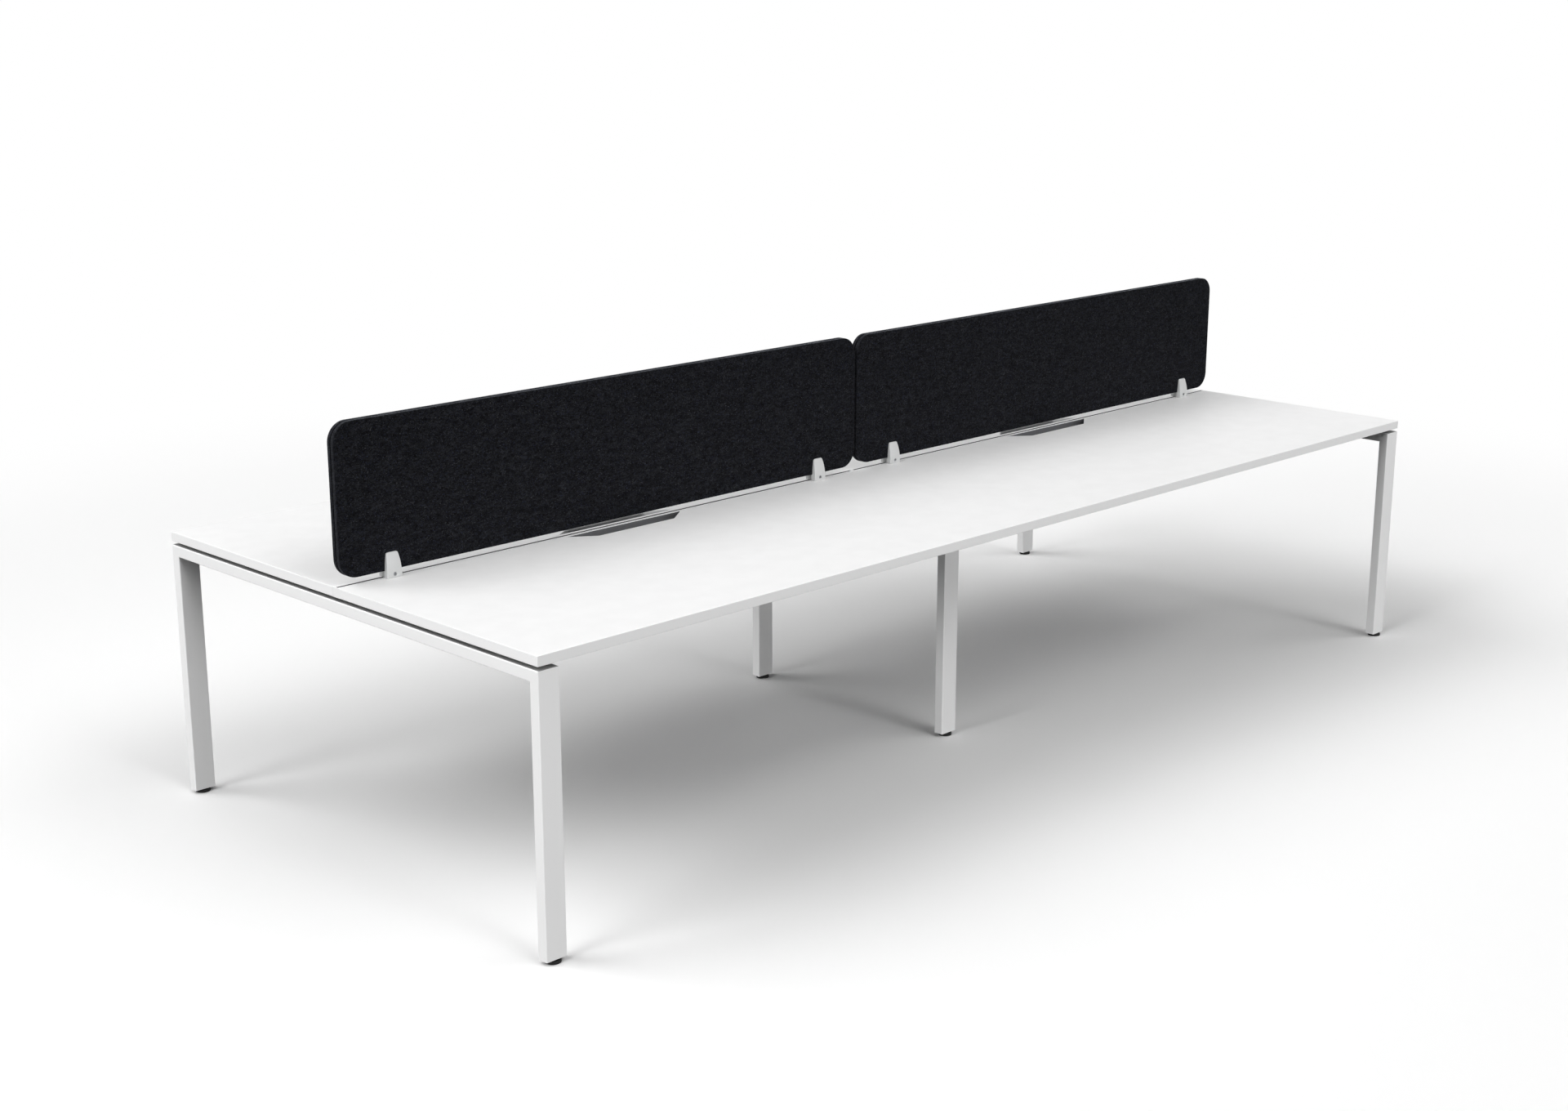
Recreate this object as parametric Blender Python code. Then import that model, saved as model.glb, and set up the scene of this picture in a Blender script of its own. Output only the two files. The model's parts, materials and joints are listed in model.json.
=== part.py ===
"""Back-to-back workstation for four people, modelled piece by piece.

Two bays stand side by side along X. Each bay has a front and a back desktop with a slotted
rail let in between them, and a felt screen held over the rail by two clamps. The desktops
float on spacers above three goalpost frames, which stand on levelling feet.
Metres, +Z up. The origin is on the floor under the middle of the workstation, the length
runs along X, and -Y is the front.
"""

from math import atan2, cos, pi, sin, tan

import bmesh
import bpy
from mathutils import Matrix, Vector

# Desktops
BAY_LENGTH = 1.800
DESKTOP_DEPTH = 0.750
DESKTOP_THICKNESS = 0.025
WORK_HEIGHT = 0.730
FLOAT_GAP = 0.010
# Cable cut-out in the inner edge of each desktop
CUTOUT_DEPTH = 0.049
CUTOUT_RIM_WIDTH = 0.266
CUTOUT_MOUTH_WIDTH = 0.398
CUTOUT_CORNER_RADIUS = 0.012
# Slotted rail between the desktops
RAIL_WIDTH = 0.030
RAIL_FLANGE_THICKNESS = 0.0075
RAIL_STEM_WIDTH = 0.018
RAIL_SLOT_WIDTH = 0.008
RAIL_SLOT_DEPTH = 0.012
RAIL_FOOT_SETBACK = 0.030
RAIL_END_CAP_LENGTH = 0.0027
RAIL_JOINT_CAP_LENGTH = 0.0114
# Steel frames of rectangular tube
TUBE_WIDTH = 0.060
TUBE_HEIGHT = 0.030
TUBE_WALL = 0.002
MIDDLE_POST_INSET = 0.370
# Beams that tie the frames together under the desktops
BEAM_WIDTH = 0.050
BEAM_HEIGHT = 0.025
BEAM_WALL = 0.002
BEAM_FLANGE_WIDTH = 0.080
BEAM_FLANGE_THICKNESS = 0.004
BEAM_OFFSET = 0.250
# Spacers between frames and desktops
END_SPACER_WIDTH = 0.024
END_SPACER_LENGTH = 0.300
END_SPACER_SETBACK = 0.345
END_SPACER_MARGIN = 0.004
MIDDLE_SPACER_WIDTH = 0.050
MIDDLE_SPACER_LENGTH = 0.180
MIDDLE_SPACER_SETBACK = 0.245
# Levelling feet and the inserts that they screw into
FOOT_SHOWING = 0.010
FOOT_PAD_RADIUS = 0.020
FOOT_PAD_THICKNESS = 0.008
FOOT_PAD_CHAMFER = 0.0015
FOOT_STEM_RADIUS = 0.004
FOOT_STEM_ABOVE_INSERT = 0.010
INSERT_HEIGHT = 0.025
# Felt screens
SCREEN_END_MARGIN = 0.005
SCREEN_HEIGHT = 0.3825
SCREEN_THICKNESS = 0.026
SCREEN_CORNER_RADIUS = 0.050
SCREEN_RAISE = 0.0175
SCREEN_CORE_THICKNESS = 0.002
SCREEN_CORE_INSET = 0.004
# Screen clamps
CLAMP_TO_END = 0.1535
CLAMP_TO_MIDDLE = 0.1615
CLAMP_HEIGHT = 0.063
JAW_WIDTH = 0.043
JAW_TOP_WIDTH = 0.033
JAW_TOP_RADIUS = 0.0045
JAW_THICKNESS = 0.0132
JAW_TOP_THICKNESS = 0.003
JAW_EDGE_CHAMFER = 0.001
JAW_FOOT_REACH = 0.0055
CLAMP_BASE_WIDTH = 0.036
BACK_PLATE_THICKNESS = 0.0025
BACK_PLATE_TOP_WIDTH = 0.030
CLAMP_TONGUE_DEPTH = 0.006
CLAMP_TONGUE_LENGTH = 0.030
# Screw that draws the jaw in
SCREW_HEIGHT = 0.0093
SCREW_HEAD_RADIUS = 0.0045
SCREW_HEAD_LENGTH = 0.004
SCREW_HEAD_RECESS = 0.002
SCREW_SOCKET_RADIUS = 0.0023
SCREW_SOCKET_DEPTH = 0.0022
SCREW_SHANK_RADIUS = 0.0027
SCREW_SHANK_LENGTH = 0.022
SCREW_HOLE_SPARE_DEPTH = 0.002
# Clearance between pieces that touch or run in each other
GAP = 0.0003

# Places that follow from the sizes above
HALF_DEPTH = DESKTOP_DEPTH + RAIL_WIDTH / 2
DESKTOP_UNDERSIDE = WORK_HEIGHT - DESKTOP_THICKNESS
FRAME_TOP = DESKTOP_UNDERSIDE - FLOAT_GAP
SCREEN_BOTTOM = WORK_HEIGHT + SCREEN_RAISE
SCREEN_LENGTH = BAY_LENGTH - 2 * SCREEN_END_MARGIN
MIDDLE_HALF_DEPTH = HALF_DEPTH - MIDDLE_POST_INSET
CLAMP_FACE = SCREEN_THICKNESS / 2 + GAP

FINE = 48
ROUND = 24


def clear_scene():
    for existing in list(bpy.data.objects):
        bpy.data.objects.remove(existing, do_unlink=True)


def material(name, colour, roughness, metallic=0.0):
    made = bpy.data.materials.new(name)
    made.use_nodes = True
    shader = made.node_tree.nodes["Principled BSDF"]
    shader.inputs["Base Color"].default_value = (*colour, 1.0)
    shader.inputs["Roughness"].default_value = roughness
    shader.inputs["Metallic"].default_value = metallic
    made.diffuse_color = (*colour, 1.0)
    return made


def add_object(name, mesh_builder, finish, location=(0.0, 0.0, 0.0), rotation=(0.0, 0.0, 0.0)):
    bmesh.ops.recalc_face_normals(mesh_builder, faces=mesh_builder.faces)
    mesh = bpy.data.meshes.new(name)
    mesh_builder.to_mesh(mesh)
    mesh_builder.free()
    mesh.materials.append(finish)
    made = bpy.data.objects.new(name, mesh)
    made.location = location
    made.rotation_euler = rotation
    bpy.context.scene.collection.objects.link(made)
    return made


def smooth(made):
    made.data.shade_smooth()
    made.data.set_sharp_from_angle(angle=pi / 6)


def rounded(corners, steps=8):
    """Closed outline through (x, y, radius) corners, with an arc at each one that has a radius."""
    points = []
    for index, (x, y, radius) in enumerate(corners):
        here = Vector((x, y))
        if radius == 0:
            points.append(here)
            continue
        back = (Vector(corners[index - 1][:2]) - here).normalized()
        ahead = (Vector(corners[(index + 1) % len(corners)][:2]) - here).normalized()
        half_angle = back.angle(ahead) / 2
        centre = here + (back + ahead).normalized() * (radius / sin(half_angle))
        first = here + back * (radius / tan(half_angle)) - centre
        last = here + ahead * (radius / tan(half_angle)) - centre
        begin = atan2(first.y, first.x)
        sweep = (atan2(last.y, last.x) - begin + pi) % (2 * pi) - pi
        for step in range(steps + 1):
            angle = begin + sweep * step / steps
            points.append(centre + radius * Vector((cos(angle), sin(angle))))
    return points


def prism(outline, thickness, across):
    """Solid of an outline in the XY, XZ or YZ plane, centred on the axis it is drawn along."""
    place = {
        "z": lambda a, b, c: (a, b, c),
        "y": lambda a, b, c: (a, c, b),
        "x": lambda a, b, c: (c, a, b),
    }[across]
    built = bmesh.new()
    base = built.faces.new([built.verts.new(place(a, b, -thickness / 2)) for a, b in outline])
    grown = bmesh.ops.extrude_face_region(built, geom=[base])
    moved = [item for item in grown["geom"] if isinstance(item, bmesh.types.BMVert)]
    bmesh.ops.translate(built, vec=Vector(place(0.0, 0.0, thickness)), verts=moved)
    return built


def block(size):
    built = bmesh.new()
    bmesh.ops.create_cube(built, size=1.0, matrix=Matrix.Diagonal((*size, 1.0)))
    return built


def turned(profile, sides):
    """Solid of a (radius, height) profile that is turned about Z and closed on the axis."""
    built = bmesh.new()
    rings = []
    for radius, height in profile:
        angles = (2 * pi * side / sides for side in range(sides))
        rings.append([built.verts.new((radius * cos(a), radius * sin(a), height)) for a in angles])
    for low, high in zip(rings, rings[1:]):
        for side in range(sides):
            after = (side + 1) % sides
            built.faces.new((low[side], low[after], high[after], high[side]))
    built.faces.new(rings[0])
    built.faces.new(rings[-1])
    return built


def rectangle_loop(built, half_a, half_b, height, slope=0.0):
    """Four corners about Z. The slope tilts the loop's plane along Y, for a mitred end."""
    corners = ((-half_a, -half_b), (half_a, -half_b), (half_a, half_b), (-half_a, half_b))
    return [built.verts.new((a, b, height + slope * b)) for a, b in corners]


def closed_tube(built, loops):
    """Faces between each loop and the next, and from the last back to the first."""
    for low, high in zip(loops, loops[1:] + loops[:1]):
        for corner in range(4):
            after = (corner + 1) % 4
            built.faces.new((low[corner], low[after], high[after], high[corner]))
    return built


def frame_tube(length, low_slope, high_slope):
    """Rectangular tube along Z, open at both ends, from 0 to the length on its centre line."""
    built = bmesh.new()
    half_a, half_b = TUBE_WIDTH / 2, TUBE_HEIGHT / 2
    bore_a, bore_b = half_a - TUBE_WALL, half_b - TUBE_WALL
    loops = [
        rectangle_loop(built, half_a, half_b, 0.0, low_slope),
        rectangle_loop(built, half_a, half_b, length, high_slope),
        rectangle_loop(built, bore_a, bore_b, length, high_slope),
        rectangle_loop(built, bore_a, bore_b, 0.0, low_slope),
    ]
    return closed_tube(built, loops)


def beam_tube(length):
    """Open tube along Z with a welded flange at each end."""
    built = bmesh.new()
    half_a, half_b = BEAM_WIDTH / 2, BEAM_HEIGHT / 2
    flange_a, flange_b = BEAM_FLANGE_WIDTH / 2, TUBE_HEIGHT / 2
    bore_a, bore_b = half_a - BEAM_WALL, half_b - BEAM_WALL
    loops = [
        rectangle_loop(built, flange_a, flange_b, 0.0),
        rectangle_loop(built, flange_a, flange_b, BEAM_FLANGE_THICKNESS),
        rectangle_loop(built, half_a, half_b, BEAM_FLANGE_THICKNESS),
        rectangle_loop(built, half_a, half_b, length - BEAM_FLANGE_THICKNESS),
        rectangle_loop(built, flange_a, flange_b, length - BEAM_FLANGE_THICKNESS),
        rectangle_loop(built, flange_a, flange_b, length),
        rectangle_loop(built, bore_a, bore_b, length),
        rectangle_loop(built, bore_a, bore_b, 0.0),
    ]
    return closed_tube(built, loops)


def cut(target, name, built, location, rotation=(0.0, 0.0, 0.0)):
    """Take a hidden cutter's shape out of the target."""
    cutter = add_object(name, built, target.data.materials[0], location, rotation)
    cutter.hide_render = True
    cutter.display_type = "WIRE"
    modifier = target.modifiers.new(name, "BOOLEAN")
    modifier.operation = "DIFFERENCE"
    modifier.solver = "EXACT"
    modifier.object = cutter


def join(target, name, built, location):
    """Fuse a hidden shape with the target."""
    addition = add_object(name, built, target.data.materials[0], location)
    addition.hide_render = True
    addition.display_type = "WIRE"
    modifier = target.modifiers.new(name, "BOOLEAN")
    modifier.operation = "UNION"
    modifier.solver = "EXACT"
    modifier.object = addition


def make_frame(place, x, half_depth, steel):
    """Goalpost frame: two posts and a crossbar, mitred at the corners."""
    post_length = FRAME_TOP - TUBE_HEIGHT / 2 - FOOT_SHOWING
    post_y = half_depth - TUBE_HEIGHT / 2
    for side, sign in (("front", -1), ("back", 1)):
        built = frame_tube(post_length, 0.0, sign)
        add_object(f"post_{side}_{place}", built, steel, (x, sign * post_y, FOOT_SHOWING))
    mitre_gap = GAP * 2 ** 0.5
    built = frame_tube(2 * (post_y - mitre_gap), 1.0, -1.0)
    middle = (x, mitre_gap - post_y, FRAME_TOP - TUBE_HEIGHT / 2)
    add_object(f"crossbar_{place}", built, steel, middle, (-pi / 2, 0.0, 0.0))


def make_foot(place, x, y, insert_plastic, foot_plastic):
    """Insert in the bottom of a post, and the foot that screws into it."""
    plug_size = (
        TUBE_WIDTH - 2 * TUBE_WALL - 2 * GAP,
        TUBE_HEIGHT - 2 * TUBE_WALL - 2 * GAP,
        INSERT_HEIGHT,
    )
    middle = (x, y, FOOT_SHOWING + INSERT_HEIGHT / 2)
    plug = add_object(f"foot_insert_{place}", block(plug_size), insert_plastic, middle)
    bore_radius = FOOT_STEM_RADIUS + GAP
    bore = turned([(bore_radius, -INSERT_HEIGHT), (bore_radius, INSERT_HEIGHT)], ROUND)
    cut(plug, f"foot_insert_bore_{place}", bore, middle)
    stem_top = FOOT_SHOWING + INSERT_HEIGHT + FOOT_STEM_ABOVE_INSERT
    profile = [
        (FOOT_PAD_RADIUS, 0.0),
        (FOOT_PAD_RADIUS, FOOT_PAD_THICKNESS - FOOT_PAD_CHAMFER),
        (FOOT_PAD_RADIUS - FOOT_PAD_CHAMFER, FOOT_PAD_THICKNESS),
        (FOOT_STEM_RADIUS, FOOT_PAD_THICKNESS),
        (FOOT_STEM_RADIUS, stem_top),
    ]
    foot = add_object(f"levelling_foot_{place}", turned(profile, FINE), foot_plastic, (x, y, 0.0))
    smooth(foot)


def make_beam(side, sign, bay, bay_x, steel):
    length = BAY_LENGTH - 1.5 * TUBE_WIDTH - 2 * GAP
    middle_x = bay_x + (TUBE_WIDTH / 4 if bay_x < 0 else -TUBE_WIDTH / 4)
    start = (middle_x - length / 2, sign * BEAM_OFFSET, FRAME_TOP - TUBE_HEIGHT / 2)
    turn = (pi / 2, 0.0, pi / 2)
    add_object(f"beam_{side}_{bay}", beam_tube(length), steel, start, turn)


def make_desktop(side, sign, bay, bay_x, board):
    """Desktop with a cable cut-out in the edge beside the rail."""
    half_length = BAY_LENGTH / 2 - GAP / 4
    inner = RAIL_WIDTH / 2
    rim = inner + CUTOUT_DEPTH
    corners = [
        (-half_length, inner, 0.0),
        (-CUTOUT_MOUTH_WIDTH / 2, inner, 0.0),
        (-CUTOUT_RIM_WIDTH / 2, rim, CUTOUT_CORNER_RADIUS),
        (CUTOUT_RIM_WIDTH / 2, rim, CUTOUT_CORNER_RADIUS),
        (CUTOUT_MOUTH_WIDTH / 2, inner, 0.0),
        (half_length, inner, 0.0),
        (half_length, HALF_DEPTH, 0.0),
        (-half_length, HALF_DEPTH, 0.0),
    ]
    outline = [(x, sign * y) for x, y in rounded(corners)]
    outward = -GAP / 4 if bay_x < 0 else GAP / 4
    middle = (bay_x + outward, 0.0, WORK_HEIGHT - DESKTOP_THICKNESS / 2)
    add_object(f"desktop_{side}_{bay}", prism(outline, DESKTOP_THICKNESS, "z"), board, middle)


def make_spacer(place, x, y, width, length, plastic):
    size = (width, length, FLOAT_GAP - 2 * GAP)
    middle = (x, y, FRAME_TOP + FLOAT_GAP / 2)
    add_object(f"top_spacer_{place}", block(size), plastic, middle)


def rail_outline(slotted):
    """Section of the rail in the YZ plane, with or without its slot."""
    flange = RAIL_WIDTH / 2 - GAP
    stem = RAIL_STEM_WIDTH / 2
    slot = RAIL_SLOT_WIDTH / 2
    under_flange = WORK_HEIGHT - RAIL_FLANGE_THICKNESS
    right_half = [
        (flange, WORK_HEIGHT),
        (flange, under_flange),
        (stem, under_flange),
        (stem, FRAME_TOP + GAP),
    ]
    left_half = [(-y, z) for y, z in reversed(right_half)]
    slot_floor = WORK_HEIGHT - RAIL_SLOT_DEPTH
    groove = [(-slot, WORK_HEIGHT), (-slot, slot_floor), (slot, slot_floor), (slot, WORK_HEIGHT)]
    return right_half + left_half + (groove if slotted else [])


def make_rails(aluminium, cap_plastic):
    """One slotted rail for each bay, joined in the middle, with its outer ends closed flush.

    The foot of the rail stops short of the outer ends, so that only the cap shows there and the
    gap under the desktops runs through.
    """
    start = RAIL_JOINT_CAP_LENGTH / 2 + GAP
    end = BAY_LENGTH - RAIL_END_CAP_LENGTH - GAP
    for bay, sign in (("left", -1), ("right", 1)):
        built = prism(rail_outline(True), end - start, "x")
        rail = add_object(f"centre_rail_{bay}", built, aluminium, (sign * (start + end) / 2, 0.0, 0.0))
        notch = block((2 * RAIL_FOOT_SETBACK, RAIL_WIDTH, 2 * FLOAT_GAP))
        notch_at = (sign * BAY_LENGTH, 0.0, DESKTOP_UNDERSIDE - FLOAT_GAP)
        cut(rail, f"centre_rail_notch_{bay}", notch, notch_at)
        built = block((RAIL_END_CAP_LENGTH, RAIL_WIDTH - 2 * GAP, DESKTOP_THICKNESS))
        cap_at = (sign * (BAY_LENGTH - RAIL_END_CAP_LENGTH / 2), 0.0, WORK_HEIGHT - DESKTOP_THICKNESS / 2)
        add_object(f"rail_end_cap_{bay}", built, cap_plastic, cap_at)
    add_object("rail_joint_cap", prism(rail_outline(False), RAIL_JOINT_CAP_LENGTH, "x"), cap_plastic)


def screen_outline(inset):
    half = SCREEN_LENGTH / 2 - inset
    low, high = SCREEN_BOTTOM + inset, SCREEN_BOTTOM + SCREEN_HEIGHT - inset
    radius = SCREEN_CORNER_RADIUS - inset
    corners = [(-half, low, radius), (half, low, radius), (half, high, radius), (-half, high, radius)]
    return rounded(corners, 12)


def make_screen(bay, bay_x, felt, core_board):
    """Two felt panels with a thin core between them, which stays back from their edges."""
    panel_thickness = (SCREEN_THICKNESS - SCREEN_CORE_THICKNESS) / 2 - GAP
    panel_y = SCREEN_THICKNESS / 2 - panel_thickness / 2
    for side, sign in (("front", -1), ("back", 1)):
        built = prism(screen_outline(0.0), panel_thickness, "y")
        add_object(f"screen_{bay}_{side}_panel", built, felt, (bay_x, sign * panel_y, 0.0))
    built = prism(screen_outline(SCREEN_CORE_INSET), SCREEN_CORE_THICKNESS, "y")
    add_object(f"screen_{bay}_core", built, core_board, (bay_x, 0.0, 0.0))


def leg(sign, foot_half, top_half, foot_thickness, top_thickness):
    """Upright of a clamp, narrower and thinner at its rounded top. The sign gives its side."""
    built = bmesh.new()
    shaft = CLAMP_HEIGHT - JAW_TOP_RADIUS
    rows = 8
    levels = []
    for row in range(rows + 1):
        height = GAP + (shaft - GAP) * row / rows
        levels.append((height, 0.0))
    for step in range(1, 5):
        angle = step * pi / 8
        drop = JAW_TOP_RADIUS * (1 - cos(angle))
        levels.append((shaft + JAW_TOP_RADIUS * sin(angle), drop))
    rings = []
    for height, drop in levels:
        rise = height / CLAMP_HEIGHT
        half = foot_half - (foot_half - top_half) * rise ** 2.5 - drop
        outer = CLAMP_FACE + foot_thickness - (foot_thickness - top_thickness) * rise ** 2
        shoulder = outer - JAW_EDGE_CHAMFER
        edge = half - JAW_EDGE_CHAMFER
        section = [
            (-half, CLAMP_FACE), (half, CLAMP_FACE), (half, shoulder),
            (edge, outer), (-edge, outer), (-half, shoulder),
        ]
        rings.append([built.verts.new((x, sign * y, height)) for x, y in section])
    for low, high in zip(rings, rings[1:]):
        for corner in range(6):
            after = (corner + 1) % 6
            built.faces.new((low[corner], low[after], high[after], high[corner]))
    built.faces.new(rings[0])
    built.faces.new(rings[-1])
    return built


def clamp_pieces(place, x, alloy, steel):
    """Clamp body with its fixed back plate, the sliding front jaw, and the screw that draws it in."""
    foot = (x, 0.0, WORK_HEIGHT)
    base_height = SCREEN_RAISE - 2 * GAP
    base_z = WORK_HEIGHT + GAP + base_height / 2
    jaw_heel = CLAMP_FACE - JAW_FOOT_REACH
    base_half, plate_top_half = CLAMP_BASE_WIDTH / 2, BACK_PLATE_TOP_WIDTH / 2
    plate = leg(1, base_half, plate_top_half, BACK_PLATE_THICKNESS, BACK_PLATE_THICKNESS)
    body = add_object(f"clamp_body_{place}", plate, alloy, foot)
    base_front = jaw_heel - GAP
    base_back = CLAMP_FACE + BACK_PLATE_THICKNESS / 2
    base_size = (CLAMP_BASE_WIDTH - 2 * JAW_EDGE_CHAMFER, base_front + base_back, base_height)
    base_at = (x, (base_back - base_front) / 2, base_z)
    join(body, f"clamp_base_{place}", block(base_size), base_at)
    tongue_height = CLAMP_TONGUE_DEPTH + GAP + base_height / 2
    tongue_size = (CLAMP_TONGUE_LENGTH, RAIL_SLOT_WIDTH - 2 * GAP, tongue_height)
    tongue_at = (x, 0.0, WORK_HEIGHT - CLAMP_TONGUE_DEPTH + tongue_height / 2)
    join(body, f"clamp_tongue_{place}", block(tongue_size), tongue_at)

    jaw_half, jaw_top_half = JAW_WIDTH / 2, JAW_TOP_WIDTH / 2
    upright = leg(-1, jaw_half, jaw_top_half, JAW_THICKNESS, JAW_TOP_THICKNESS)
    front_jaw = add_object(f"clamp_jaw_{place}", upright, alloy, foot)
    heel_front = CLAMP_FACE + JAW_THICKNESS / 2
    heel_size = (JAW_WIDTH - 2 * JAW_EDGE_CHAMFER, heel_front - jaw_heel, base_height)
    heel_at = (x, -(heel_front + jaw_heel) / 2, base_z)
    join(front_jaw, f"clamp_heel_{place}", block(heel_size), heel_at)

    jaw_front = CLAMP_FACE + JAW_THICKNESS
    head_seat = jaw_front - SCREW_HEAD_RECESS - SCREW_HEAD_LENGTH
    axis = (x, 0.0, WORK_HEIGHT + SCREW_HEIGHT)
    forward = (pi / 2, 0.0, 0.0)
    hole_radius = SCREW_SHANK_RADIUS + GAP
    hole_end = head_seat - SCREW_SHANK_LENGTH - SCREW_HOLE_SPARE_DEPTH
    hole = turned([(hole_radius, hole_end), (hole_radius, jaw_front)], ROUND)
    cut(body, f"clamp_body_hole_{place}", hole, axis, forward)
    through_hole = turned([(hole_radius, 0.0), (hole_radius, 2 * jaw_front)], ROUND)
    cut(front_jaw, f"clamp_jaw_hole_{place}", through_hole, axis, forward)
    sink_radius = SCREW_HEAD_RADIUS + GAP
    sink = turned([(sink_radius, head_seat), (sink_radius, 2 * jaw_front)], ROUND)
    cut(front_jaw, f"clamp_jaw_sink_{place}", sink, axis, forward)

    under_head = head_seat + GAP
    head_face = under_head + SCREW_HEAD_LENGTH
    profile = [
        (SCREW_SHANK_RADIUS, head_seat - SCREW_SHANK_LENGTH),
        (SCREW_SHANK_RADIUS, under_head),
        (SCREW_HEAD_RADIUS, under_head),
        (SCREW_HEAD_RADIUS, head_face),
    ]
    screw = add_object(f"clamp_screw_{place}", turned(profile, ROUND), steel, axis, forward)
    socket_floor = head_face - SCREW_SOCKET_DEPTH
    socket = turned([(SCREW_SOCKET_RADIUS, socket_floor), (SCREW_SOCKET_RADIUS, 2 * head_face)], 6)
    cut(screw, f"clamp_screw_socket_{place}", socket, axis, forward)
    smooth(screw)


def build():
    clear_scene()
    board = material("white_melamine", (0.86, 0.86, 0.86), 0.45)
    steel = material("white_powder_coat", (0.82, 0.82, 0.82), 0.5)
    aluminium = material("white_coated_aluminium", (0.84, 0.84, 0.84), 0.4)
    felt = material("charcoal_felt", (0.010, 0.011, 0.014), 0.95)
    core_board = material("black_core_board", (0.004, 0.004, 0.005), 0.9)
    alloy = material("light_grey_alloy", (0.58, 0.58, 0.58), 0.45)
    screw_steel = material("zinc_screw_steel", (0.35, 0.35, 0.36), 0.35, 1.0)
    black_plastic = material("black_plastic", (0.012, 0.012, 0.012), 0.55)
    white_plastic = material("white_plastic", (0.84, 0.84, 0.84), 0.5)

    end_x = BAY_LENGTH - TUBE_WIDTH / 2
    frames = (
        ("left", -end_x, HALF_DEPTH),
        ("middle", 0.0, MIDDLE_HALF_DEPTH),
        ("right", end_x, HALF_DEPTH),
    )
    sides = (("front", -1), ("back", 1))
    bays = (("left", -BAY_LENGTH / 2), ("right", BAY_LENGTH / 2))

    for place, x, half_depth in frames:
        make_frame(place, x, half_depth, steel)
        for side, sign in sides:
            post_y = sign * (half_depth - TUBE_HEIGHT / 2)
            make_foot(f"{side}_{place}", x, post_y, black_plastic, black_plastic)

    for side, sign in sides:
        for bay, bay_x in bays:
            make_beam(side, sign, bay, bay_x, steel)
            make_desktop(side, sign, bay, bay_x, board)
            inner_edge = BAY_LENGTH - TUBE_WIDTH + END_SPACER_MARGIN + END_SPACER_WIDTH / 2
            spacer_x = inner_edge if bay_x > 0 else -inner_edge
            spacer_y = sign * (HALF_DEPTH - END_SPACER_SETBACK)
            place = f"{side}_{bay}"
            make_spacer(place, spacer_x, spacer_y, END_SPACER_WIDTH, END_SPACER_LENGTH, black_plastic)
        spacer_y = sign * (MIDDLE_HALF_DEPTH - MIDDLE_SPACER_SETBACK)
        place = f"{side}_middle"
        make_spacer(place, 0.0, spacer_y, MIDDLE_SPACER_WIDTH, MIDDLE_SPACER_LENGTH, black_plastic)

    make_rails(aluminium, white_plastic)

    for bay, bay_x in bays:
        make_screen(bay, bay_x, felt, core_board)
        outward = -1 if bay_x < 0 else 1
        clamp_pieces(f"{bay}_outer", outward * (BAY_LENGTH - CLAMP_TO_END), alloy, screw_steel)
        clamp_pieces(f"{bay}_inner", outward * CLAMP_TO_MIDDLE, alloy, screw_steel)


build()
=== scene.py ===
# %% [markdown]
# # A back-to-back workstation
# Four white desktops stand in two rows with a slotted rail between them. Three white steel
# frames shaped like goalposts carry the desktops on hidden spacers, so that each top seems to
# float. Two charcoal felt screens stand in the rail, each held by two clamps.
# The solids of the desk are loaded first. They fix every size and place in this script, and
# each cell below dresses some of them: with eased edges, rounded tube, soft felt and real finishes.

# %% Load the solids
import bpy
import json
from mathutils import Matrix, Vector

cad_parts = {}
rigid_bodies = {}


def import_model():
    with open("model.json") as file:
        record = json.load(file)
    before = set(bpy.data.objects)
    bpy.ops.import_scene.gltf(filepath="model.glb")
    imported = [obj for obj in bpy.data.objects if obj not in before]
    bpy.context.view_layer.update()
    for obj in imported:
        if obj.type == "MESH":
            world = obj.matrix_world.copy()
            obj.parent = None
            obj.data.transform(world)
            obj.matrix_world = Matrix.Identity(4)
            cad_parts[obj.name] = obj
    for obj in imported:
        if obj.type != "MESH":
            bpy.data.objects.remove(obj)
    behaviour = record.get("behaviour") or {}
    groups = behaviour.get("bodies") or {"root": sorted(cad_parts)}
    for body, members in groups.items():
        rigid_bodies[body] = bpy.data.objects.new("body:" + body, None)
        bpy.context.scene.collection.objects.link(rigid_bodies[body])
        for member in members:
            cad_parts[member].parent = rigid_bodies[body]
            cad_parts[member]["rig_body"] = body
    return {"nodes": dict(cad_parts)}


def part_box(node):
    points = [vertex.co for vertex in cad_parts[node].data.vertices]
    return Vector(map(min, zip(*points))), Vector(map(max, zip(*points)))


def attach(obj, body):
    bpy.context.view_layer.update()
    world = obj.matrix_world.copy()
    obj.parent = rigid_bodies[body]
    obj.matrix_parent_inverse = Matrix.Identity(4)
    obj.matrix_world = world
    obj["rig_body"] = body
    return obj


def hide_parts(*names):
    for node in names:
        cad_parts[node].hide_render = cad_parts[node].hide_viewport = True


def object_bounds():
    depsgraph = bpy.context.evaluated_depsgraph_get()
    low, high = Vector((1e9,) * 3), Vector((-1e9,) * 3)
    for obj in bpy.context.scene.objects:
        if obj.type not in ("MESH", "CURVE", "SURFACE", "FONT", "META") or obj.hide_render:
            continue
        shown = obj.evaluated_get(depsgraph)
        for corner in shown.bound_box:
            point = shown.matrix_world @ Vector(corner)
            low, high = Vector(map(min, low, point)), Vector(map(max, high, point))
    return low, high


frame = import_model()
cad_box = [list(corner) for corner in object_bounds()]
print("box:", [[round(value, 4) for value in corner] for corner in cad_box])

# %% [markdown]
# ## Small tools
# Colours are written as the sRGB hex codes that a paint chart or a photograph gives, and Blender
# works in linear light, so one function turns one into the other. A second one adds a shader
# node with its settings and links, which keeps each finish short enough to read at a glance.

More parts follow.
